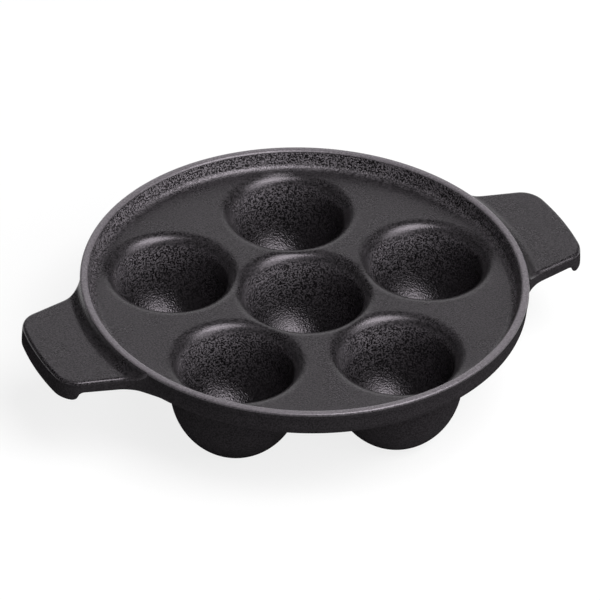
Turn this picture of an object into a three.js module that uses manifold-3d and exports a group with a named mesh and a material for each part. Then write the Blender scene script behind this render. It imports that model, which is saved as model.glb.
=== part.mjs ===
// Escargot dish for one serving, in enamelled cast iron: a deck with six cups, a rim wall and two lug handles.
// Millimetres, +Z up. The dish stands on its cup feet at z = 0, about the Z axis, with its handles along X.
import * as THREE from "three";
import { mergeVertices } from "three/addons/utils/BufferGeometryUtils.js";
import Module from "manifold-3d";

// Seams between neighbouring features of the casting
const SEAM = 0.3;

// Cups: one in the middle, and a ring of cups named in order round the axis from the right handle
const RING_CUPS = ["cup_right", "cup_back", "cup_left", "cup_front_left", "cup_front_right"];
const RING_POCKET_RADIUS = 17.5;
const MIDDLE_POCKET_RADIUS = 18.3;
const CUP_WALL = 3.0;
const CUP_CLEARANCE = 0.55;
const CUP_FLOOR = 2.6;
const SHOULDER_DEPTH = 9.4;
const BOWL_HEIGHT = 20.5;
const FOOT_RADIUS = 9.5;

// Deck
const DECK_THICKNESS = 3.4;
const MOUTH_ROUND = 4.1;
const DECK_MARGIN = 0.05;

// Rim wall
const WALL_RISE = 5.8;
const WALL_LEAN = THREE.MathUtils.degToRad(14);
const COVE_RADIUS = 2.2;
const LAND_WIDTH = 2.53;
const LAND_BEVEL = 0.35;
const LIP_BAND_HEIGHT = 2.2;
const LIP_BAND_STEP = 0.3;
const LOWER_EDGE_ROUND = 3.5;

// Handles
const HANDLE_REACH = 20.75;
const HANDLE_WIDTH = 40.35;
const HANDLE_FLARE = THREE.MathUtils.degToRad(12.8);
const HANDLE_CORNER = 8.7;
const HANDLE_ROOT_FILLET = 17;
const HANDLE_DROP = 3.3;
const HANDLE_THICKNESS = 4.1;
const HANDLE_EDGE_ROUND = 0.8;
const GRIP_WIDTH = 5.0;
const GRIP_DEPTH = 2.8;

// Fineness of the round shapes
const RIM_SEGMENTS = 72;
const CUP_SEGMENTS = 32;
const BOWL_STEPS = 6;
const FILLET_STEPS = 4;
const OUTLINE_STEPS = 8;
const EDGE_STEPS = 2;

// Enamel colours
const DECK_COLOR = "#434246";
const RIM_COLOR = "#37363a";
const CUP_COLOR = "#2b2a2d";
const HANDLE_COLOR = "#3f3e42";

// Levels, from the cup feet up
const SHOULDER_Z = BOWL_HEIGHT;
const DECK_Z = SHOULDER_Z + SHOULDER_DEPTH;
const DECK_UNDERSIDE_Z = DECK_Z - DECK_THICKNESS;
const LAND_Z = DECK_Z + WALL_RISE;
const HANDLE_TOP_Z = LAND_Z - HANDLE_DROP;
const HANDLE_UNDERSIDE_Z = HANDLE_TOP_Z - HANDLE_THICKNESS;
const GRIP_BOTTOM_Z = HANDLE_UNDERSIDE_Z - GRIP_DEPTH;

// Radii about the dish's axis, each worked out from the one inside it
const RING_PITCH = MIDDLE_POCKET_RADIUS + 2 * CUP_WALL + CUP_CLEARANCE + RING_POCKET_RADIUS;
const DECK_RADIUS = RING_PITCH + RING_POCKET_RADIUS + MOUTH_ROUND + DECK_MARGIN;
const COVE_START_RADIUS = DECK_RADIUS + SEAM;
const COVE_TOP_RADIUS = COVE_START_RADIUS + COVE_RADIUS * Math.cos(WALL_LEAN);
const COVE_TOP_Z = DECK_Z + COVE_RADIUS * (1 - Math.sin(WALL_LEAN));
const LAND_INNER_RADIUS = COVE_TOP_RADIUS + (LAND_Z - COVE_TOP_Z) * Math.tan(WALL_LEAN);
const RIM_RADIUS = LAND_INNER_RADIUS + LAND_WIDTH;
const HANDLE_SEAT_RADIUS = RIM_RADIUS + SEAM;
const HANDLE_END_RADIUS = RIM_RADIUS + HANDLE_REACH;

const QUARTER_TURN = Math.PI / 2;
const wasm = await Module();
wasm.setup();

function enamelledIron(color) {
  return new THREE.MeshStandardMaterial({ color, roughness: 0.6, metalness: 0.1 });
}

// Points on an arc (or an ellipse, when radiusZ is given), both ends included
function arc(centreR, centreZ, radiusR, from, to, steps, radiusZ = radiusR) {
  const points = [];
  for (let step = 0; step <= steps; step++) {
    const angle = from + ((to - from) * step) / steps;
    points.push(new THREE.Vector2(centreR + radiusR * Math.cos(angle), centreZ + radiusZ * Math.sin(angle)));
  }
  return points;
}

// Turns a profile of (radius, height) points round the Z axis
function turned(profile, segments) {
  return new THREE.LatheGeometry(profile, segments).rotateX(QUARTER_TURN);
}

function solidFrom(geometry) {
  const bare = geometry.index ? geometry.toNonIndexed() : geometry.clone();
  bare.deleteAttribute("normal");
  bare.deleteAttribute("uv");
  const merged = mergeVertices(bare, 1e-4);
  const corners = merged.index.array;
  const triangles = [];
  for (let k = 0; k < corners.length; k += 3) {
    const [a, b, c] = [corners[k], corners[k + 1], corners[k + 2]];
    if (a !== b && b !== c && c !== a) {
      triangles.push(a, b, c);
    }
  }
  return new wasm.Manifold(
    new wasm.Mesh({
      numProp: 3,
      vertProperties: new Float32Array(merged.attributes.position.array),
      triVerts: new Uint32Array(triangles),
    })
  );
}

function geometryFrom(solid) {
  const mesh = solid.getMesh();
  const geometry = new THREE.BufferGeometry();
  geometry.setAttribute("position", new THREE.BufferAttribute(mesh.vertProperties, 3));
  geometry.setIndex(new THREE.BufferAttribute(mesh.triVerts, 1));
  return geometry;
}

function piece(name, geometry, color) {
  const mesh = new THREE.Mesh(geometry, enamelledIron(color));
  mesh.name = name;
  return mesh;
}

function cupPlaces() {
  const places = [{ name: "cup_middle", x: 0, y: 0, pocketRadius: MIDDLE_POCKET_RADIUS }];
  RING_CUPS.forEach((name, k) => {
    const angle = (2 * Math.PI * k) / RING_CUPS.length;
    places.push({
      name,
      x: RING_PITCH * Math.cos(angle),
      y: RING_PITCH * Math.sin(angle),
      pocketRadius: RING_POCKET_RADIUS,
    });
  });
  return places;
}

// A cup below the deck: straight neck, round bowl and flat foot
function cupGeometry(pocketRadius) {
  const outerRadius = pocketRadius + CUP_WALL;
  const neckTop = DECK_UNDERSIDE_Z - SEAM;
  const outerHeight = BOWL_HEIGHT / Math.sqrt(1 - (FOOT_RADIUS / outerRadius) ** 2);
  const footAngle = -Math.acos(FOOT_RADIUS / outerRadius);
  const innerHeight = BOWL_HEIGHT - CUP_FLOOR;
  const profile = [
    new THREE.Vector2(0, 0),
    ...arc(0, SHOULDER_Z, outerRadius, footAngle, 0, BOWL_STEPS, outerHeight),
    new THREE.Vector2(outerRadius, neckTop),
    new THREE.Vector2(pocketRadius, neckTop),
    ...arc(0, SHOULDER_Z, pocketRadius, 0, -QUARTER_TURN, BOWL_STEPS, innerHeight),
  ];
  profile.at(-1).x = 0;
  return turned(profile, CUP_SEGMENTS);
}

// What a cup's mouth takes out of the deck: the pocket, opening out in a rounded lip
function mouthCutter(pocketRadius) {
  const mouthRadius = pocketRadius + MOUTH_ROUND;
  const past = DECK_THICKNESS;
  const profile = [
    new THREE.Vector2(0, DECK_UNDERSIDE_Z - past),
    new THREE.Vector2(pocketRadius, DECK_UNDERSIDE_Z - past),
    ...arc(mouthRadius, DECK_Z - MOUTH_ROUND, MOUTH_ROUND, Math.PI, QUARTER_TURN, FILLET_STEPS),
    new THREE.Vector2(mouthRadius, DECK_Z + past),
    new THREE.Vector2(0, DECK_Z + past),
  ];
  return turned(profile, CUP_SEGMENTS);
}

function deckGeometry(places) {
  const plate = [
    new THREE.Vector2(0, DECK_UNDERSIDE_Z),
    new THREE.Vector2(DECK_RADIUS, DECK_UNDERSIDE_Z),
    new THREE.Vector2(DECK_RADIUS, DECK_Z),
    new THREE.Vector2(0, DECK_Z),
  ];
  let deck = solidFrom(turned(plate, RIM_SEGMENTS));
  for (const { x, y, pocketRadius } of places) {
    deck = deck.subtract(solidFrom(mouthCutter(pocketRadius).translate(x, y, 0)));
  }
  return geometryFrom(deck);
}

// The rim wall's section runs from its seam with the deck's underside round the outside, over the land and down
// the cove to the deck
function rimGeometry() {
  const lowerRadius = RIM_RADIUS - LIP_BAND_STEP;
  const bandBottom = LAND_Z - LIP_BAND_HEIGHT;
  const bevelIn = LAND_BEVEL * Math.tan(WALL_LEAN);
  const profile = [
    new THREE.Vector2(COVE_START_RADIUS, DECK_UNDERSIDE_Z),
    ...arc(
      lowerRadius - LOWER_EDGE_ROUND,
      DECK_UNDERSIDE_Z + LOWER_EDGE_ROUND,
      LOWER_EDGE_ROUND,
      -QUARTER_TURN,
      0,
      FILLET_STEPS
    ),
    new THREE.Vector2(lowerRadius, bandBottom - LIP_BAND_STEP),
    new THREE.Vector2(RIM_RADIUS, bandBottom),
    new THREE.Vector2(RIM_RADIUS, LAND_Z - LAND_BEVEL),
    new THREE.Vector2(RIM_RADIUS - LAND_BEVEL, LAND_Z),
    new THREE.Vector2(LAND_INNER_RADIUS + LAND_BEVEL, LAND_Z),
    new THREE.Vector2(LAND_INNER_RADIUS - bevelIn, LAND_Z - LAND_BEVEL),
    ...arc(COVE_START_RADIUS, DECK_Z + COVE_RADIUS, COVE_RADIUS, -WALL_LEAN, -QUARTER_TURN, FILLET_STEPS),
  ];
  profile.push(profile[0].clone());
  return turned(profile, RIM_SEGMENTS);
}

// Plan of a handle on +X: an end concentric with the dish, flared sides, round corners, and root fillets that
// run into the rim wall, where the handle's seat is cut later
function handlePlan() {
  const side = new THREE.Vector2(Math.sin(HANDLE_FLARE), Math.cos(HANDLE_FLARE));
  const along = new THREE.Vector2(side.y, -side.x);
  const middle = new THREE.Vector2(RIM_RADIUS + HANDLE_REACH / 2, HANDLE_WIDTH / 2);
  const sideDistance = middle.dot(side);
  const sideAngle = QUARTER_TURN - HANDLE_FLARE;
  const centreAt = (distance, radius) =>
    side.clone().multiplyScalar(distance).addScaledVector(along, Math.sqrt(radius ** 2 - distance ** 2));

  const corner = centreAt(sideDistance - HANDLE_CORNER, HANDLE_END_RADIUS - HANDLE_CORNER);
  const root = centreAt(sideDistance + HANDLE_ROOT_FILLET, RIM_RADIUS - SEAM + HANDLE_ROOT_FILLET);
  const [cornerAngle, rootAngle] = [corner.angle(), root.angle()];
  const insideRadius = RIM_RADIUS - LAND_WIDTH;

  const plan = new THREE.Shape();
  plan.absarc(0, 0, HANDLE_END_RADIUS, -cornerAngle, cornerAngle, false);
  plan.absarc(corner.x, corner.y, HANDLE_CORNER, cornerAngle, sideAngle, false);
  plan.absarc(root.x, root.y, HANDLE_ROOT_FILLET, sideAngle - Math.PI, rootAngle - Math.PI, true);
  plan.lineTo(insideRadius * Math.cos(rootAngle), insideRadius * Math.sin(rootAngle));
  plan.lineTo(insideRadius * Math.cos(rootAngle), -insideRadius * Math.sin(rootAngle));
  plan.absarc(root.x, -root.y, HANDLE_ROOT_FILLET, Math.PI - rootAngle, Math.PI - sideAngle, true);
  plan.absarc(corner.x, -corner.y, HANDLE_CORNER, -sideAngle, -cornerAngle, false);
  return plan;
}

function upright(radius, bottomZ, topZ) {
  const height = topZ - bottomZ;
  return new THREE.CylinderGeometry(radius, radius, height, 2 * RIM_SEGMENTS)
    .rotateX(QUARTER_TURN)
    .translate(0, 0, bottomZ + height / 2);
}

// A lug handle on +X: a flat tab hollowed below, so that a grip stays turned down along its end
function handleGeometry() {
  const height = HANDLE_TOP_Z - GRIP_BOTTOM_Z;
  const tab = new THREE.ExtrudeGeometry(handlePlan(), {
    depth: height - 2 * HANDLE_EDGE_ROUND,
    curveSegments: OUTLINE_STEPS,
    bevelEnabled: true,
    bevelThickness: HANDLE_EDGE_ROUND,
    bevelSize: HANDLE_EDGE_ROUND,
    bevelOffset: -HANDLE_EDGE_ROUND,
    bevelSegments: EDGE_STEPS,
  }).translate(0, 0, GRIP_BOTTOM_Z + HANDLE_EDGE_ROUND);
  const hollow = upright(HANDLE_END_RADIUS - GRIP_WIDTH, GRIP_BOTTOM_Z - GRIP_DEPTH, HANDLE_UNDERSIDE_Z);
  const seat = upright(HANDLE_SEAT_RADIUS, GRIP_BOTTOM_Z - GRIP_DEPTH, LAND_Z);
  return geometryFrom(solidFrom(tab).subtract(solidFrom(hollow)).subtract(solidFrom(seat)));
}

const dish = new THREE.Group();
const places = cupPlaces();
dish.add(piece("deck", deckGeometry(places), DECK_COLOR));
dish.add(piece("rim_wall", rimGeometry(), RIM_COLOR));
for (const { name, x, y, pocketRadius } of places) {
  const cup = piece(name, cupGeometry(pocketRadius), CUP_COLOR);
  cup.position.set(x, y, 0);
  dish.add(cup);
}
const handleSides = { handle_right: 0, handle_left: Math.PI };
for (const [name, turn] of Object.entries(handleSides)) {
  const handle = piece(name, handleGeometry(), HANDLE_COLOR);
  handle.rotation.z = turn;
  dish.add(handle);
}

export default dish;
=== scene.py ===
"""Escargot dish in black enamelled cast iron: cups in a sunken deck, a rim wall and two lug handles."""
import itertools
import math

import bpy
import numpy as np
from mathutils import Matrix, Vector
from mathutils.geometry import delaunay_2d_cdt


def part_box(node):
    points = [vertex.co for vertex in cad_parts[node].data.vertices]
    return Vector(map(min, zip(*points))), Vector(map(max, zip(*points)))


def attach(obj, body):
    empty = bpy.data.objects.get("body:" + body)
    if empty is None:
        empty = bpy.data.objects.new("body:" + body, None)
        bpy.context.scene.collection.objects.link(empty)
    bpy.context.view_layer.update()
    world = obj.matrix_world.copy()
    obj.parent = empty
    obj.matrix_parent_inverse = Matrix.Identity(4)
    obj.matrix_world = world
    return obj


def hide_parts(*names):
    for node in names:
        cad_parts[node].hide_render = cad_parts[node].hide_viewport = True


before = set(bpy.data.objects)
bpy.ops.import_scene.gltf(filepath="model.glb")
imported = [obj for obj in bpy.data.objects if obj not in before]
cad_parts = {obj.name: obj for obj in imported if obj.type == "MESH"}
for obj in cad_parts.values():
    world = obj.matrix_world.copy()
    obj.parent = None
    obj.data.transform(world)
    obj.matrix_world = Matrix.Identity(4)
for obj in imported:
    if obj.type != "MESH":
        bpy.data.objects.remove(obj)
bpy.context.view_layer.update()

# Sizes of the casting in metres, beside those that the frame gives
MM = 0.001
SEAM = 0.3 * MM

# Cups, from the mouth down to the foot
MOUTH_REACH = 4.9 * MM
MOUTH_DROP = 4.4 * MM
MOUTH_POWER = 2.2
GRAIN_START = 1.4 * MM
GRAIN_FULL = 5.5 * MM
CUP_WALL = 2.75 * MM
CUP_FLOOR = 2.6 * MM
BOWL_HEIGHT = 20.5 * MM
COLLAR = 2.4 * MM
FOOT_RADIUS = 9.5 * MM
FOOT_EDGE = 1.5 * MM
FOOT_EDGE_INSET = 0.15 * MM
FOOT_EDGE_LIFT = 0.12 * MM

# Deck's edge and rim wall
EDGE_FADE = 1.5 * MM
COVE_REACH = 4.5 * MM
COVE_RISE = 2.2 * MM
WALL_LEAN = math.radians(14.0)
LAND_WIDTH = 2.53 * MM
LAND_INNER_EDGE = 1.2 * MM
LAND_OUTER_EDGE = 0.8 * MM
LAND_FINISH_DEPTH = 1.2 * MM
LIP_BAND_HEIGHT = 2.2 * MM
LIP_BAND_STEP = 0.35 * MM
LIP_BAND_EDGE = 0.2 * MM
LOWER_EDGE_ROUND = 3.5 * MM

# Handles, with the grip along their ends and the root in the rim wall
HANDLE_WIDTH = 40.35 * MM
HANDLE_FLARE = math.radians(12.8)
HANDLE_CORNER = 8.7 * MM
HANDLE_CORNER_COSINE = 0.9
HANDLE_ROOT_REACH = 6.0 * MM
HANDLE_THICKNESS = 4.1 * MM
HANDLE_EDGE_ROUND = 1.1 * MM
LOWER_HANDLE_ROUND = 1.0 * MM
HANDLE_WALL_FILLET = 4.5 * MM
HANDLE_UNDER_FILLET = 2.5 * MM
HANDLE_UNDER_FALL = 0.03
HANDLE_TOP_SLOPE = 0.3
GRIP_WIDTH = 4.4 * MM
GRIP_BULGE = 0.35 * MM
GRIP_BULGE_RISE = 1.8 * MM
GRIP_ROUND = 2.0 * MM
GRIP_FILLET = 1.4 * MM
ROOT_CLEARANCE = 0.02 * MM
ROOT_DEPTH = 0.9 * MM
ROOT_TOP_GAP = 0.3 * MM
ROOT_HALF_SPAN = 30.0 * MM

# How finely the surfaces are divided
CUP_SEGMENTS = 128
RIM_SEGMENTS = 256
MOUTH_STEPS = 18
LIP_STEPS = 3
COVE_STEPS = 12
BOWL_STEPS = 28
ARC_STEP = math.radians(6.0)
SHARP_ANGLE = math.radians(50.0)
WELD = 0.002 * MM
PLAN_WELD = 1e-9
INSIDE_LEAST = 0.99

# Grid that the handle's skin is drawn on
GRID_CELL = 0.35 * MM
GRID_MARGIN_CELLS = 2
GRID_INWARD = 24.0 * MM
GRID_HALF_SPAN = 38.0 * MM
SLOPE_NUDGE = 0.01 * MM
LEAST_STEEPNESS = 0.25
DRAW_ROUNDS = 3

CUPS = ("cup_middle", "cup_right", "cup_back", "cup_left", "cup_front_left", "cup_front_right")

# Levels and radii that follow from the frame
rim_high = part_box("rim_wall")[1]
deck_low, deck_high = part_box("deck")
handle_low, handle_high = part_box("handle_right")
rim_radius = rim_high.x
wall_radius = rim_radius - LIP_BAND_STEP
land_z = rim_high.z
band_z = land_z - LIP_BAND_HEIGHT
deck_z = deck_high.z
underside_z = deck_low.z
deck_edge = deck_high.x + SEAM / 2
deck_thickness = deck_z - underside_z
lip_bottom_z = deck_z - MOUTH_DROP
lip_share = 1.0 - deck_thickness / MOUTH_DROP
lip_turn = math.acos(lip_share ** (MOUTH_POWER / 2))
lip_start = MOUTH_REACH * (1.0 - math.sin(lip_turn) ** (2 / MOUTH_POWER))
land_inner = rim_radius - LAND_WIDTH
cove_turn = math.atan2(COVE_REACH, COVE_RISE * math.tan(WALL_LEAN))
cove_top_z = deck_z + COVE_RISE * (1.0 - math.cos(cove_turn))
cove_top = land_inner - (land_z - cove_top_z) * math.tan(WALL_LEAN)
cove_start = cove_top - COVE_REACH * math.sin(cove_turn)


def cup_plan(name):
    """Centre and pocket radius of a cup, from its box in the frame."""
    low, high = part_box(name)
    middle = (low + high) / 2
    return Vector((middle.x, middle.y, 0.0)), (high.x - low.x) / 2 - CUP_WALL


cup_plans = {name: cup_plan(name) for name in CUPS}


def cove_rise(radius):
    """How far the cove has risen above the deck at this radius, up to the seam between deck and rim."""
    out = np.clip(radius - cove_start, 0.0, deck_edge - cove_start)
    return COVE_RISE * (1.0 - np.sqrt(1.0 - (out / COVE_REACH) ** 2))


def grain_at(z):
    """Share of the coarse grain at a level in a pocket: none on the rounded mouth, all on the wall below."""
    return np.clip((deck_z - GRAIN_START - z) / (GRAIN_FULL - GRAIN_START), 0.0, 1.0)


# Finishes: colour levels as shares of white, sizes and depths of grain in metres
PURPLE_LEAN = 0.91
SATIN = {"level": 0.017, "contrast": 0.85, "specular": 0.53, "roughness": 0.28}
DULL = {"level": 0.019, "contrast": 0.3, "specular": 0.0, "roughness": 0.65}
ROUGHNESS_SPREAD = 0.02
FINE_GRAIN = {"size": 0.5 * MM, "detail": 2.0, "roughness": 0.5}
FINE_RANGE = (0.4, 0.6)
FINE_DEPTH = 0.06 * MM
CLOUDING = {"size": 14.0 * MM, "detail": 4.0, "roughness": 0.55}
CLOUD_RANGE = (0.3, 0.7)
CLOUD_SHARE = 0.1
RIPPLE = {"size": 5.0 * MM, "detail": 1.0, "roughness": 0.55}
RIPPLE_DEPTH = 0.005 * MM

# Coarse grain: level in metres and colour level at its lowest and highest, depth of its relief. The colour
# level's change with height is painted light, not a change in the enamel.
# Pockets: the grain's colour level falls from light just under the mouth to near black at the floor, which
# is painted shade in the pocket's depth; its light grains near the mouth also partly stand in for glints
POCKET_GRAIN_AND_SHADE = {"low": (CUP_FLOOR, 0.005), "high": (lip_bottom_z, 0.11), "depth": 0.32 * MM}
# Rim wall: the grain's light colour level, lighter still towards the foot, is a painted reflection of the
# lamps on the wall and cove
WALL_GRAIN_AND_SHEEN = {"low": (deck_z, 0.09), "high": (land_z, 0.06), "depth": 0.5 * MM}
PEBBLES = {"size": 0.52 * MM, "detail": 1.5, "roughness": 0.5}
PIT_RANGE = (0.44, 0.59)
PIT_SHARE = 0.05
PEAK_SHARE = 1.95
LOW_RELIEF = 0.4
# Power of the coarse grain's colour rise with height, which is painted light
LEVEL_POWER = 2.9

# Bare iron on the land
LAND_SPECKS = {"size": 0.7 * MM, "detail": 4.0, "roughness": 0.7}
LAND_RANGE = (0.35, 0.65)
LAND_DARK = 0.078
LAND_LIGHT = 0.155
LAND_RAGGED = 0.25 * MM
LAND_WORN_FROM = 0.45 * MM
LAND_WORN_FULL = 0.1 * MM


def feed(tree, socket, value):
    """Set an input socket to a number or colour, or link it to the socket that feeds it."""
    if isinstance(value, bpy.types.NodeSocket):
        tree.links.new(value, socket)
    else:
        socket.default_value = value


def add_node(tree, kind, inputs=None, **settings):
    """New node with its settings and its inputs: numbers, colours or the sockets that feed them."""
    node = tree.nodes.new(kind)
    for key, value in settings.items():
        setattr(node, key, value)
    for key, value in (inputs or {}).items():
        feed(tree, node.inputs[key], value)
    return node


def grey(level):
    """Grey with a slight lean to purple."""
    return (level, level * PURPLE_LEAN, level, 1.0)


def noise(tree, place, size, detail, roughness):
    """Noise whose grains are about this size in metres."""
    inputs = {"Vector": place, "Scale": 1.0 / size, "Detail": detail, "Roughness": roughness}
    return add_node(tree, "ShaderNodeTexNoise", inputs).outputs["Fac"]


def remap(tree, value, given, wanted=(0.0, 1.0)):
    """The value carried from one range to another and held there."""
    low, high = given
    to_low, to_high = wanted
    inputs = {"Value": value, "From Min": low, "From Max": high, "To Min": to_low, "To Max": to_high}
    return add_node(tree, "ShaderNodeMapRange", inputs).outputs["Result"]


def blend_colours(tree, share, first, second):
    """Mix of two colours."""
    mix = add_node(tree, "ShaderNodeMix", {0: share, 6: first, 7: second}, data_type="RGBA")
    return mix.outputs[2]


def combine(tree, operation, first, second):
    """Arithmetic on two values."""
    return add_node(tree, "ShaderNodeMath", {0: first, 1: second}, operation=operation).outputs[0]


def bump(tree, height, depth, under=None):
    """Bump of this depth in metres, laid over another one if given."""
    inputs = {"Height": height, "Strength": 1.0, "Distance": depth}
    if under is not None:
        inputs["Normal"] = under
    return add_node(tree, "ShaderNodeBump", inputs).outputs["Normal"]


def height_of(tree, place):
    """Upright part of the coordinates."""
    return add_node(tree, "ShaderNodeSeparateXYZ", {0: place}).outputs["Z"]


def start_material(name):
    """Empty node material with its shader, output and object coordinates."""
    material = bpy.data.materials.new(name)
    material.use_nodes = True
    tree = material.node_tree
    tree.nodes.clear()
    shader = add_node(tree, "ShaderNodeBsdfPrincipled")
    add_node(tree, "ShaderNodeOutputMaterial", {"Surface": shader.outputs["BSDF"]})
    place = add_node(tree, "ShaderNodeTexCoord").outputs["Object"]
    return material, tree, shader, place


def add_coarse_grain_and_painted_light(tree, place, colour, normal, low, high, depth):
    """Colour and normal with coarse sparkling grain laid over them, by the piece's own grain attribute; the
    grain's colour level goes from low to high with height, which is painted light.
    """
    low_z, low_level = low
    high_z, high_level = high
    mask = add_node(tree, "ShaderNodeAttribute", attribute_name="grain").outputs["Fac"]
    pebble = noise(tree, place, **PEBBLES)
    rise = remap(tree, height_of(tree, place), (low_z, high_z))
    relief = combine(tree, "MULTIPLY", remap(tree, rise, (0.0, 1.0), (LOW_RELIEF, 1.0)), mask)
    normal = bump(tree, combine(tree, "MULTIPLY", pebble, relief), depth, normal)
    # Colour level by height: painted shade in the pockets, painted reflection on the rim wall
    share = combine(tree, "POWER", rise, LEVEL_POWER)
    pits = blend_colours(tree, share, grey(low_level * PIT_SHARE), grey(high_level * PIT_SHARE))
    peaks = blend_colours(tree, share, grey(low_level * PEAK_SHARE), grey(high_level * PEAK_SHARE))
    pitted = blend_colours(tree, remap(tree, pebble, PIT_RANGE), pits, peaks)
    return blend_colours(tree, mask, colour, pitted), normal


def wear_land(tree, place, fine, colour):
    """Colour with the land ground down to bare speckled iron, ragged at its borders."""
    ragged = combine(tree, "ADD", height_of(tree, place), combine(tree, "MULTIPLY", fine, LAND_RAGGED))
    bare = remap(tree, ragged, (land_z - LAND_WORN_FROM, land_z - LAND_WORN_FULL))
    speck = remap(tree, noise(tree, place, **LAND_SPECKS), LAND_RANGE)
    ground = blend_colours(tree, speck, grey(LAND_DARK), grey(LAND_LIGHT))
    return blend_colours(tree, bare, colour, ground)


def enamel(name, level, contrast, specular, roughness, grain=None, land=False):
    """Black enamel with a fine grain, and where asked for with a bare land or with coarse grain whose colour
    by height is painted light.
    """
    material, tree, shader, place = start_material(name)
    fine = noise(tree, place, **FINE_GRAIN)
    cloud = noise(tree, place, **CLOUDING)
    ripple = noise(tree, place, **RIPPLE)
    fine_part = combine(tree, "MULTIPLY", fine, 1.0 - CLOUD_SHARE)
    cloud_part = combine(tree, "MULTIPLY", cloud, CLOUD_SHARE)
    speckle = remap(tree, combine(tree, "ADD", fine_part, cloud_part), FINE_RANGE)
    dark = grey(level * (1.0 - contrast))
    light = grey(level * (1.0 + contrast))
    colour = blend_colours(tree, speckle, dark, light)
    rough = remap(tree, cloud, CLOUD_RANGE, (roughness - ROUGHNESS_SPREAD, roughness + ROUGHNESS_SPREAD))
    normal = bump(tree, ripple, RIPPLE_DEPTH)
    normal = bump(tree, fine, FINE_DEPTH, normal)
    if grain:
        colour, normal = add_coarse_grain_and_painted_light(tree, place, colour, normal, **grain)
    if land:
        colour = wear_land(tree, place, fine, colour)
    tree.links.new(colour, shader.inputs["Base Color"])
    tree.links.new(rough, shader.inputs["Roughness"])
    tree.links.new(normal, shader.inputs["Normal"])
    shader.inputs["Specular IOR Level"].default_value = specular
    shader.inputs["Specular Tint"].default_value = grey(1.0)
    return material


deck_finish = enamel("deck_satin_enamel", **SATIN, grain=POCKET_GRAIN_AND_SHADE)
pocket_finish = enamel("pocket_grained_enamel_and_painted_shade", **SATIN, grain=POCKET_GRAIN_AND_SHADE)
rim_finish = enamel("rim_satin_enamel", **SATIN, grain=WALL_GRAIN_AND_SHEEN, land=True)
handle_finish = enamel("handle_satin_enamel", **SATIN)
outside_finish = enamel("outside_dull_enamel", **DULL)


# Making of any piece
def add_object(name, data):
    """New object of the scene, at the origin."""
    made = bpy.data.objects.new(name, data)
    bpy.context.scene.collection.objects.link(made)
    return made


def settle(piece, *finishes):
    """Give the piece its finishes, and shade it smooth but for its hard edges."""
    mesh = piece.data
    for finish in finishes:
        mesh.materials.append(finish)
    mesh.shade_smooth()
    mesh.set_sharp_from_angle(angle=SHARP_ANGLE)
    mesh.update()


# Turned pieces
def soft_outline(corners):
    """Points (r, z) of an outline through corners (r, z, rounding), each rounded corner an arc."""
    points = []
    for k, (r, z, rounding) in enumerate(corners):
        corner = Vector((r, z))
        if not rounding:
            points.append(corner)
            continue
        back = (Vector(corners[k - 1][:2]) - corner).normalized()
        ahead = (Vector(corners[(k + 1) % len(corners)][:2]) - corner).normalized()
        opening = back.angle(ahead)
        middle = corner + (back + ahead).normalized() * rounding / math.sin(opening / 2)
        start = corner + back * rounding / math.tan(opening / 2) - middle
        turn = math.pi - opening
        turn = turn if back.x * ahead.y - back.y * ahead.x < 0 else -turn
        steps = max(2, math.ceil(abs(turn) / ARC_STEP))
        for step in range(steps + 1):
            points.append(middle + Matrix.Rotation(turn * step / steps, 2) @ start)
    return points


def section_object(name, points):
    """Loose chain of points (r, z, grain, inside) in the XZ plane, with the last two as attributes."""
    mesh = bpy.data.meshes.new(name)
    mesh.from_pydata([(r, 0.0, z) for r, z, grain, inside in points], [], [])
    for k, label in ((2, "grain"), (3, "inside")):
        layer = mesh.attributes.new(label, "FLOAT", "POINT")
        layer.data.foreach_set("value", [point[k] for point in points])
    return add_object(name, mesh)


def value_at_row(tree, section, row, value, kind):
    """What the section's point of this row has as its value."""
    inputs = {"Geometry": section, "Value": value, "Index": row}
    taken = add_node(tree, "GeometryNodeSampleIndex", inputs, data_type=kind, domain="POINT")
    return taken.outputs["Value"]


def named_value(tree, label):
    """A piece's own attribute of numbers."""
    inputs = {"Name": label}
    return add_node(tree, "GeometryNodeInputNamedAttribute", inputs, data_type="FLOAT").outputs["Attribute"]


def passed_on(tree, kind, body, inputs=None, **settings):
    """The body as it comes out of a node of this kind."""
    return add_node(tree, kind, {"Geometry": body, **(inputs or {})}, **settings).outputs["Geometry"]


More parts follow.
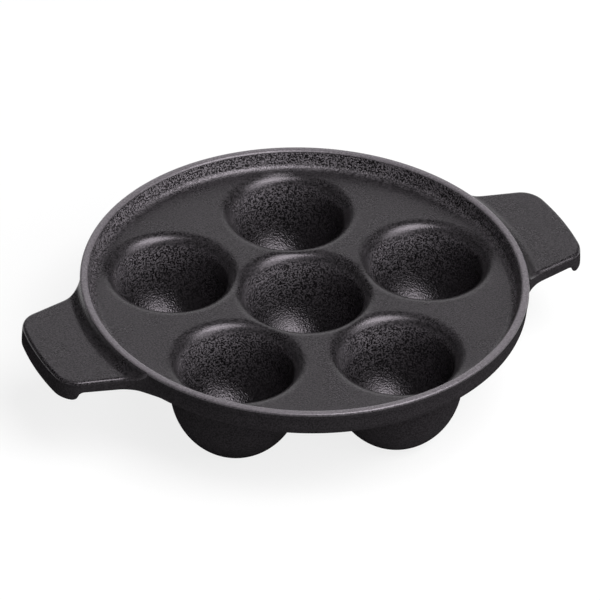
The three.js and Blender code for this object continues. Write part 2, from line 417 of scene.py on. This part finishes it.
def turning_tree():
    """Geometry nodes that turn a section round an upright axis into a closed body."""
    tree = bpy.data.node_groups.new("turn_section", "GeometryNodeTree")
    sockets = (
        ("Section", "NodeSocketObject"),
        ("Segments", "NodeSocketInt"),
        ("Place", "NodeSocketVector"),
        ("Inside Finish", "NodeSocketMaterial"),
        ("Outside Finish", "NodeSocketMaterial"),
    )
    tree.interface.new_socket("Geometry", in_out="OUTPUT", socket_type="NodeSocketGeometry")
    for label, kind in sockets:
        tree.interface.new_socket(label, in_out="INPUT", socket_type=kind)
    given = add_node(tree, "NodeGroupInput").outputs
    section = add_node(tree, "GeometryNodeObjectInfo", {"Object": given["Section"]}).outputs["Geometry"]
    count = add_node(tree, "GeometryNodeAttributeDomainSize", {"Geometry": section}).outputs["Point Count"]
    columns = combine(tree, "ADD", given["Segments"], 1.0)
    sheet = add_node(tree, "GeometryNodeMeshGrid", {"Vertices X": count, "Vertices Y": columns})
    index = add_node(tree, "GeometryNodeInputIndex").outputs["Index"]
    row = combine(tree, "FLOOR", combine(tree, "DIVIDE", combine(tree, "ADD", index, 0.5), columns), 0.0)
    column = combine(tree, "SUBTRACT", index, combine(tree, "MULTIPLY", row, columns))
    share = combine(tree, "DIVIDE", column, given["Segments"])
    angle = combine(tree, "MULTIPLY", share, math.tau)
    spot = add_node(tree, "GeometryNodeInputPosition").outputs["Position"]
    spot = value_at_row(tree, section, row, spot, "FLOAT_VECTOR")
    drawn = add_node(tree, "ShaderNodeSeparateXYZ", {0: spot}).outputs
    x = combine(tree, "MULTIPLY", drawn["X"], combine(tree, "COSINE", angle, 0.0))
    y = combine(tree, "MULTIPLY", drawn["X"], combine(tree, "SINE", angle, 0.0))
    turned = add_node(tree, "ShaderNodeCombineXYZ", {"X": x, "Y": y, "Z": drawn["Z"]}).outputs["Vector"]
    placed = add_node(tree, "ShaderNodeVectorMath", {0: turned, 1: given["Place"]}, operation="ADD")
    body = sheet.outputs["Mesh"]
    for label in ("grain", "inside"):
        carried = value_at_row(tree, section, row, named_value(tree, label), "FLOAT")
        inputs = {"Name": label, "Value": carried}
        settings = {"data_type": "FLOAT", "domain": "POINT"}
        body = passed_on(tree, "GeometryNodeStoreNamedAttribute", body, inputs, **settings)
    body = passed_on(tree, "GeometryNodeSetPosition", body, {"Position": placed.outputs["Vector"]})
    body = passed_on(tree, "GeometryNodeMergeByDistance", body, {"Distance": WELD})
    body = passed_on(tree, "GeometryNodeSetShadeSmooth", body)
    body = passed_on(tree, "GeometryNodeRealizeInstances", body)
    body = passed_on(tree, "GeometryNodeSetMaterial", body, {"Material": given["Outside Finish"]})
    within = combine(tree, "GREATER_THAN", named_value(tree, "inside"), INSIDE_LEAST)
    inputs = {"Selection": within, "Material": given["Inside Finish"]}
    body = passed_on(tree, "GeometryNodeSetMaterial", body, inputs)
    add_node(tree, "NodeGroupOutput", {"Geometry": body})
    return tree


turning = turning_tree()


def turned_piece(name, points, place, segments, inside, outside):
    """Object at the origin whose mesh is the section turned round the upright axis at place."""
    section = section_object(name + "_section", points)
    piece = add_object(name, bpy.data.meshes.new(name))
    turn = piece.modifiers.new("turn", "NODES")
    turn.node_group = turning
    values = {
        "Section": section,
        "Segments": segments,
        "Place": place,
        "Inside Finish": inside,
        "Outside Finish": outside,
    }
    for item in turning.interface.items_tree:
        if item.in_out == "INPUT":
            turn[item.identifier] = values[item.name]
    ready = piece.evaluated_get(bpy.context.evaluated_depsgraph_get())
    mesh = bpy.data.meshes.new_from_object(ready)
    piece.modifiers.remove(turn)
    piece.data = mesh
    mesh.name = name
    bpy.data.objects.remove(section)
    settle(piece)
    return piece


def mouth_point(turn):
    """Distance out from the pocket's wall and drop below the deck on a mouth: turn is 0 at the deck."""
    out = MOUTH_REACH * (1.0 - abs(math.sin(turn)) ** (2 / MOUTH_POWER))
    drop = MOUTH_DROP * (1.0 - abs(math.cos(turn)) ** (2 / MOUTH_POWER))
    return out, drop


def cup_section(pocket):
    """Section of a cup: bowl inside, wall top against the deck, collar, bowl outside, foot."""
    outer = pocket + CUP_WALL
    depth = BOWL_HEIGHT - CUP_FLOOR
    quarter = [math.pi / 2 * k / BOWL_STEPS for k in range(BOWL_STEPS + 1)]
    points = [(pocket * math.sin(t), BOWL_HEIGHT - depth * math.cos(t), 1.0, 1.0) for t in quarter]
    for k in range(LIP_STEPS + 1):
        out, drop = mouth_point(math.pi / 2 + (lip_turn - math.pi / 2) * k / LIP_STEPS)
        points.append((pocket + out, deck_z - drop, float(grain_at(deck_z - drop)), 1.0))
    steps = math.ceil(math.pi / 2 / ARC_STEP)
    for k in range(steps + 1):
        t = math.pi / 2 * (1.0 + k / steps)
        r = outer + COLLAR + COLLAR * math.cos(t)
        points.append((r, underside_z - COLLAR + COLLAR * math.sin(t), 0.0, 0.0))
    drop = BOWL_HEIGHT / math.sqrt(1.0 - (FOOT_RADIUS / outer) ** 2)
    last = math.acos((FOOT_RADIUS + FOOT_EDGE / 2) / outer)
    for k in range(BOWL_STEPS + 1):
        t = last * k / BOWL_STEPS
        points.append((outer * math.cos(t), BOWL_HEIGHT - drop * math.sin(t), 0.0, 0.0))
    points.append((FOOT_RADIUS - FOOT_EDGE_INSET, FOOT_EDGE_LIFT, 0.0, 0.0))
    points.append((FOOT_RADIUS - FOOT_EDGE / 2, 0.0, 0.0, 0.0))
    points.append((FOOT_RADIUS - FOOT_EDGE, 0.0, 0.0, 0.0))
    points.append((0.0, 0.0, 0.0, 0.0))
    return points


def rim_section():
    """Section of the rim: cove at the deck's edge, leaning inner wall, land, lip band, outer wall."""
    first = math.asin((deck_edge - cove_start) / COVE_REACH)
    points = []
    for k in range(COVE_STEPS):
        turn = first + (cove_turn - first) * k / COVE_STEPS
        rise = COVE_RISE * (1.0 - math.cos(turn))
        points.append((cove_start + COVE_REACH * math.sin(turn), deck_z + rise, rise / COVE_RISE, 1.0))
    corners = (
        (cove_top, cove_top_z, 0.0),
        (land_inner, land_z, LAND_INNER_EDGE),
        (rim_radius, land_z, LAND_OUTER_EDGE),
        (rim_radius, band_z, LIP_BAND_EDGE),
        (wall_radius, band_z, LIP_BAND_EDGE / 2),
        (wall_radius, underside_z, LOWER_EDGE_ROUND),
        (deck_edge, underside_z, 0.0),
    )
    for r, z in soft_outline(corners):
        on_wall = r < land_inner and z > underside_z + SEAM
        grain = 1.0 if on_wall and z < land_z - LAND_INNER_EDGE / 2 else 0.0
        inside = 1.0 if on_wall or z > land_z - LAND_FINISH_DEPTH else 0.0
        points.append((r, z, grain, inside))
    points.append(points[0])
    return points


# Deck
def mouth_drop(beyond):
    """How far a pocket's rounded mouth lies below the deck, at this distance beyond the pocket's wall."""
    share = np.clip(1.0 - beyond / MOUTH_REACH, 0.0, 1.0)
    return MOUTH_DROP * (1.0 - (1.0 - share**MOUTH_POWER) ** (1.0 / MOUTH_POWER))


def beyond_pockets(plan):
    """Distance of plan points from the wall of each pocket, one row per pocket, negative inside it."""
    rows = [np.hypot(*(plan - np.array(place.xy)).T) - pocket for place, pocket in cup_plans.values()]
    return np.array(rows)


def ring(centre, radius, segments):
    """Points of a circle, counter-clockwise from +X."""
    angle = np.arange(segments) * (math.tau / segments)
    return np.stack([centre[0] + radius * np.cos(angle), centre[1] + radius * np.sin(angle)], axis=1)


def deck_plan():
    """Plan points of the deck's top and the rows of indices that bound it: pocket walls, then the edge."""
    rounds = [mouth_point(lip_turn * (1.0 - k / MOUTH_STEPS))[0] for k in range(MOUTH_STEPS + 1)]
    rounds.append(MOUTH_REACH + SEAM)
    points, bounds, count = [], [], 0
    for k, (place, pocket) in enumerate(cup_plans.values()):
        for step, out in enumerate(rounds):
            circle = ring(place.xy, pocket + out, CUP_SEGMENTS)
            if step == 0:
                bounds.append(np.arange(count, count + CUP_SEGMENTS))
            else:
                beyond = beyond_pockets(circle)
                others = np.delete(beyond, k, axis=0).min(axis=0)
                near_edge = np.hypot(*circle.T) > deck_edge - SEAM / 4
                circle = circle[(others > out) & ~near_edge]
            points.append(circle)
            count += len(circle)
    bounds.append(np.arange(count, count + RIM_SEGMENTS))
    points.append(ring((0.0, 0.0), deck_edge, RIM_SEGMENTS))
    return np.concatenate(points), bounds


def triangles_between(plan, bounds):
    """Triangles over the plan points, with the pockets and everything past the edge left open."""
    edges = [(int(a), int(b)) for row in bounds for a, b in zip(row, np.roll(row, -1))]
    made = delaunay_2d_cdt([Vector(p) for p in plan], edges, [], 0, PLAN_WELD, True)
    spots, _, triangles, origins, _, _ = made
    flat = np.array([tuple(p) for p in spots])
    source = np.array([ids[0] for ids in origins])
    corners = np.array(triangles)
    middle = flat[corners].mean(axis=1)
    kept = (beyond_pockets(middle).min(axis=0) > lip_start) & (np.hypot(*middle.T) < deck_edge)
    return source[corners[kept]]


def deck_piece():
    """Deck: flat top whose pockets have rounded mouths, flat underside that meets them, edge at the cove."""
    plan, bounds = deck_plan()
    beyond = beyond_pockets(plan)
    radius = np.hypot(*plan.T)
    inward = np.clip((deck_edge - radius) / EDGE_FADE, 0.0, 1.0)
    top_z = deck_z + cove_rise(radius) - mouth_drop(beyond).sum(axis=0) * np.sin(inward * math.pi / 2)
    top = np.column_stack([plan, top_z])
    top_faces = triangles_between(plan, bounds)
    rim_points = np.concatenate(bounds)
    under_rows = np.split(np.arange(len(rim_points)), np.cumsum([len(row) for row in bounds])[:-1])
    under_faces = rim_points[triangles_between(plan[rim_points], under_rows)[:, ::-1]]
    edge = bounds[-1]
    lower_edge = np.arange(len(plan), len(plan) + len(edge))
    lowered = np.arange(len(plan))
    lowered[edge] = lower_edge
    under_faces = lowered[under_faces]
    under = np.column_stack([plan[edge], np.full(len(edge), underside_z)])
    wall = np.stack([np.roll(edge, -1), edge, lower_edge, np.roll(lower_edge, -1)], axis=1)
    faces = top_faces.tolist() + under_faces.tolist() + wall.tolist()
    mesh = bpy.data.meshes.new("deck_plate")
    mesh.from_pydata(np.concatenate([top, under]).tolist(), [], faces)
    layer = mesh.attributes.new("grain", "FLOAT", "POINT")
    layer.data.foreach_set("value", np.concatenate([grain_at(top_z), np.zeros(len(under))]))
    piece = add_object("deck_plate", mesh)
    settle(piece, deck_finish, outside_finish)
    finish_number = np.zeros(len(faces), dtype=np.int32)
    finish_number[len(top_faces):] = 1
    mesh.polygons.foreach_set("material_index", finish_number)
    return piece


# Handles
half_width = Vector(((rim_radius + handle_high.x) / 2, HANDLE_WIDTH / 2))
handle_side = half_width.dot(Vector((math.sin(HANDLE_FLARE), math.cos(HANDLE_FLARE))))


def rounded_both(a, b, rounding, cosine=0.0):
    """Distance from what two shapes share, with its edge rounded; cosine is that between their faces."""
    a, b = a + rounding, b + rounding
    past_edge = (a > b * cosine) & (b > a * cosine)
    from_edge = np.sqrt(np.maximum(a**2 + b**2 - 2 * a * b * cosine, 0.0) / (1.0 - cosine**2))
    return np.where(past_edge, from_edge, np.maximum(a, b)) - rounding


def filleted(a, b, fillet):
    """Distance from two shapes joined with a hollow fillet."""
    near = np.hypot(np.maximum(fillet - a, 0.0), np.maximum(fillet - b, 0.0))
    return np.maximum(fillet, np.minimum(a, b)) - near


def handle_field(points):
    """Distance from the right handle, whose root lies a little way inside the rim wall."""
    x, y, z = points.T
    radius = np.hypot(x, y)
    seat = wall_radius - ROOT_CLEARANCE
    wall = rounded_both(radius - seat, underside_z + ROOT_CLEARANCE - z, LOWER_EDGE_ROUND)
    near_end = np.clip((radius - handle_high.x) / GRIP_WIDTH + 1.0, 0.0, 1.0)
    bulge_z = handle_low.z + GRIP_BULGE_RISE
    over_bulge = np.clip((z - bulge_z) / (handle_high.z - bulge_z), 0.0, 1.0)
    end = radius - handle_high.x + GRIP_BULGE * near_end * np.sin(over_bulge * math.pi / 2) ** 2
    across = x * math.sin(HANDLE_FLARE) + np.abs(y) * math.cos(HANDLE_FLARE)
    cosine = np.minimum(across / radius, HANDLE_CORNER_COSINE)
    tab = rounded_both(across - handle_side, end, HANDLE_CORNER, cosine)
    lug = filleted(tab, wall, HANDLE_ROOT_REACH)
    top = -rounded_both(handle_high.z - z, seat - radius, HANDLE_WALL_FILLET)
    grip_radius = handle_high.x - GRIP_WIDTH
    underside = handle_high.z - HANDLE_THICKNESS - HANDLE_UNDER_FALL * (grip_radius - radius)
    bead = rounded_both(grip_radius - radius, handle_low.z - z, GRIP_ROUND)
    below = filleted(underside - z, bead, GRIP_FILLET)
    under = -rounded_both(-below, -wall, HANDLE_UNDER_FILLET)
    lug = rounded_both(lug, under, LOWER_HANDLE_ROUND)
    lug = rounded_both(lug, top, HANDLE_EDGE_ROUND)
    root = np.maximum(-wall - ROOT_DEPTH, z - land_z + ROOT_TOP_GAP)
    hidden = np.maximum(tab - HANDLE_ROOT_REACH, seat - LOWER_EDGE_ROUND - radius)
    span = np.abs(y) - ROOT_HALF_SPAN
    return np.maximum.reduce([lug, root, hidden, span])


def crossing_points(grid, value):
    """A point in each grid cell where the value crosses zero, and the points' numbers by cell, or -1."""
    cells = tuple(n - 1 for n in value.shape)
    total = np.zeros(cells + (3,))
    count = np.zeros(cells)

    def at(array, corner):
        return array[tuple(slice(c, c + n) for c, n in zip(corner, cells))]

    for axis in range(3):
        for corner in itertools.product((0, 1), repeat=3):
            if corner[axis]:
                continue
            far = tuple(1 if k == axis else c for k, c in enumerate(corner))
            a, b = at(value, corner), at(value, far)
            crossed = (a < 0) != (b < 0)
            share = (a[crossed] / (a[crossed] - b[crossed]))[:, None]
            start, stop = at(grid, corner)[crossed], at(grid, far)[crossed]
            total[crossed] += start + share * (stop - start)
            count[crossed] += 1
    used = count > 0
    number = np.full(cells, -1)
    number[used] = np.arange(used.sum())
    return total[used] / count[used][:, None], number


def crossing_faces(value, number):
    """Four-sided faces, outwards, each round a grid edge along which the value crosses zero."""
    faces = []
    solid = value < 0
    for axis in range(3):
        u, v = (axis + 1) % 3, (axis + 2) % 3
        near, far = [slice(1, -1)] * 3, [slice(1, -1)] * 3
        near[axis], far[axis] = slice(0, -1), slice(1, None)
        first, second = solid[tuple(near)], solid[tuple(far)]
        step_u, step_v = np.eye(3, dtype=int)[u], np.eye(3, dtype=int)[v]
        offset = step_u + step_v
        for leaving in (True, False):
            at_edge = np.argwhere((first != second) & (first == leaving)) + offset
            around = [at_edge - offset, at_edge - step_v, at_edge, at_edge - step_u]
            quads = np.stack([number[tuple(c.T)] for c in around], axis=1)
            faces.append(quads if leaving else quads[:, ::-1])
    return np.concatenate(faces)


def slope(field, points):
    """Gradient of the field at the points."""
    steps = np.eye(3) * SLOPE_NUDGE
    return np.stack([(field(points + s) - field(points - s)) / (2 * SLOPE_NUDGE) for s in steps], axis=1)


def draw_onto(field, points):
    """The points moved along the field's slope to where it is zero."""
    for _ in range(DRAW_ROUNDS):
        lean = slope(field, points)
        steep = np.maximum((lean**2).sum(axis=1), LEAST_STEEPNESS)
        points = points - lean * (field(points) / steep)[:, None]
    return points


def skin(field, low, high, cell):
    """Vertices and faces of the closed surface where the field is zero, found on a grid of cells."""
    margin = GRID_MARGIN_CELLS * cell
    axes = [np.arange(a - margin, b + margin, cell) for a, b in zip(low, high)]
    grid = np.stack(np.meshgrid(*axes, indexing="ij"), axis=-1)
    value = field(grid.reshape(-1, 3)).reshape(grid.shape[:3])
    points, number = crossing_points(grid, value)
    return draw_onto(field, points), crossing_faces(value, number)


def handle_piece(name, vertices, faces):
    """Handle with its satin top face and dull sides and underside."""
    mesh = bpy.data.meshes.new(name)
    mesh.from_pydata(vertices.tolist(), [], faces.tolist())
    piece = add_object(name, mesh)
    settle(piece, handle_finish, outside_finish)
    for face in mesh.polygons:
        face.material_index = 0 if face.normal.z > HANDLE_TOP_SLOPE else 1
    return piece


# Pieces of the dish
for cup, (place, pocket) in cup_plans.items():
    section = cup_section(pocket)
    shell = turned_piece(cup + "_shell", section, place, CUP_SEGMENTS, pocket_finish, outside_finish)
    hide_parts(cup)
    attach(shell, "root")

rim = turned_piece("rim_ring", rim_section(), Vector(), RIM_SEGMENTS, rim_finish, outside_finish)
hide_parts("rim_wall")
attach(rim, "root")

deck = deck_piece()
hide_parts("deck")
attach(deck, "root")

lug_low = Vector((wall_radius - GRID_INWARD, -GRID_HALF_SPAN, handle_low.z))
lug_high = Vector((handle_high.x, GRID_HALF_SPAN, land_z))
lug_vertices, lug_faces = skin(handle_field, lug_low, lug_high, GRID_CELL)
MIRROR = np.array([-1.0, 1.0, 1.0])
right_lug = handle_piece("handle_right_lug", lug_vertices, lug_faces)
left_lug = handle_piece("handle_left_lug", lug_vertices * MIRROR, lug_faces[:, ::-1])
for lug, node in ((right_lug, "handle_right"), (left_lug, "handle_left")):
    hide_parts(node)
    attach(lug, "root")


# Camera at the photograph's viewing angle
CAMERA_AZIMUTH = math.radians(-25.98)
CAMERA_ELEVATION = math.radians(36.788)
CAMERA_ROLL = math.radians(2.0)
CAMERA_DISTANCE = 1.822
CAMERA_LENS = 351.4
CAMERA_SENSOR = 36.0
CAMERA_SIGHT = 50.0
AIM_RIGHT = -1.502 * MM
AIM_UP = -7.327 * MM


def add_camera():
    """Camera whose image centre lies a little below and to the left of the middle of the land."""
    a, e, r = CAMERA_AZIMUTH, CAMERA_ELEVATION, CAMERA_ROLL
    back = Vector((math.sin(a) * math.cos(e), -math.cos(a) * math.cos(e), math.sin(e)))
    level = Vector((math.cos(a), math.sin(a), 0.0))
    rise = back.cross(level)
    right = level * math.cos(r) + rise * math.sin(r)
    up = rise * math.cos(r) - level * math.sin(r)
    aim = Vector((0.0, 0.0, land_z)) + right * AIM_RIGHT + up * AIM_UP
    data = bpy.data.cameras.new("camera")
    data.lens = CAMERA_LENS
    data.sensor_width = CAMERA_SENSOR
    data.clip_end = CAMERA_SIGHT
    camera = add_object("camera", data)
    turn = Matrix((right, up, back)).transposed().to_4x4()
    camera.matrix_world = Matrix.Translation(aim + back * CAMERA_DISTANCE) @ turn
    bpy.context.scene.camera = camera


add_camera()

# Floor, backdrop and light, in metres and watts
WHITE = (1.0, 1.0, 1.0, 1.0)
FLOOR_HALF_WIDTH = 4.0
BACKDROP_AWAY = 3.4
BACKDROP_LEFT = 0.35
BACKDROP_RIGHT = 3.5
BACKDROP_HEIGHT = 3.8
FLOOR_SHOWN_WHITE = 0.82
FLOOR_WHITE = 1.0
FLOOR_TONE = 0.85
LAMPS = (
    # name, direction from the dish, distance, size, power, shows in the shine
    ("overhead_softbox", (0.18, -0.33, 0.93), 1.4, 0.85, 18.5, True),
    ("front_softbox", (0.50, -0.60, 0.63), 1.6, 1.15, 12.0, True),
    ("front_fill", (0.376, -0.68, 0.63), 1.6, 1.5, 12.0, False),
    ("back_fill", (0.25, 0.93, 0.26), 2.0, 1.0, 20.0, False),
)
WORLD_LEVEL = 0.035


def floor_finish():
    """Pale floor, mostly plain white where the camera or a reflection sees it, with some of its shadow."""
    material = bpy.data.materials.new("floor_white")
    material.use_nodes = True
    tree = material.node_tree
    tree.nodes.clear()
    path = add_node(tree, "ShaderNodeLightPath").outputs
    seen = combine(tree, "MAXIMUM", path["Is Camera Ray"], path["Is Glossy Ray"])
    seen = combine(tree, "MAXIMUM", seen, path["Is Transmission Ray"])
    share = combine(tree, "MULTIPLY", seen, FLOOR_SHOWN_WHITE)
    lit = add_node(tree, "ShaderNodeBsdfDiffuse", {"Color": (FLOOR_TONE, FLOOR_TONE, FLOOR_TONE, 1.0)})
    white = add_node(tree, "ShaderNodeEmission", {"Color": WHITE, "Strength": FLOOR_WHITE})
    inputs = {0: share, 1: lit.outputs["BSDF"], 2: white.outputs["Emission"]}
    mixed = add_node(tree, "ShaderNodeMixShader", inputs)
    add_node(tree, "ShaderNodeOutputMaterial", {"Surface": mixed.outputs["Shader"]})
    return material


def add_sheet(name, corners, finish):
    """Flat sheet of the surroundings."""
    mesh = bpy.data.meshes.new(name)
    mesh.from_pydata(corners, [], [range(len(corners))])
    mesh.materials.append(finish)
    sheet = add_object(name, mesh)


def add_surroundings():
    """Floor, and a white backdrop that shows in the deck."""
    finish = floor_finish()
    wide, away = FLOOR_HALF_WIDTH, BACKDROP_AWAY
    corners = [(-wide, -wide, 0.0), (wide, -wide, 0.0), (wide, wide, 0.0), (-wide, wide, 0.0)]
    add_sheet("floor", corners, finish)
    left, right, top = BACKDROP_LEFT, BACKDROP_RIGHT, BACKDROP_HEIGHT
    corners = [(left, away, 0.0), (right, away, 0.0), (right, away, top), (left, away, top)]
    add_sheet("backdrop", corners, finish)


def add_softbox(name, direction, distance, size, power, shows):
    """Square area lamp that faces the dish, and shows in its shine or not."""
    direction = Vector(direction).normalized()
    data = bpy.data.lights.new(name, "AREA")
    data.size = size
    data.energy = power
    lamp = add_object(name, data)
    lamp.location = Vector((0.0, 0.0, deck_z)) + direction * distance
    lamp.rotation_euler = direction.to_track_quat("Z", "Y").to_euler()
    lamp.visible_camera = False
    lamp.visible_glossy = shows


def add_world():
    """Dim even surroundings."""
    world = bpy.data.worlds.new("studio")
    world.use_nodes = True
    shade = world.node_tree.nodes["Background"]
    shade.inputs["Color"].default_value = WHITE
    shade.inputs["Strength"].default_value = WORLD_LEVEL
    bpy.context.scene.world = world


add_surroundings()
for lamp_values in LAMPS:
    add_softbox(*lamp_values)
add_world()
bpy.context.scene.view_settings.view_transform = "Standard"
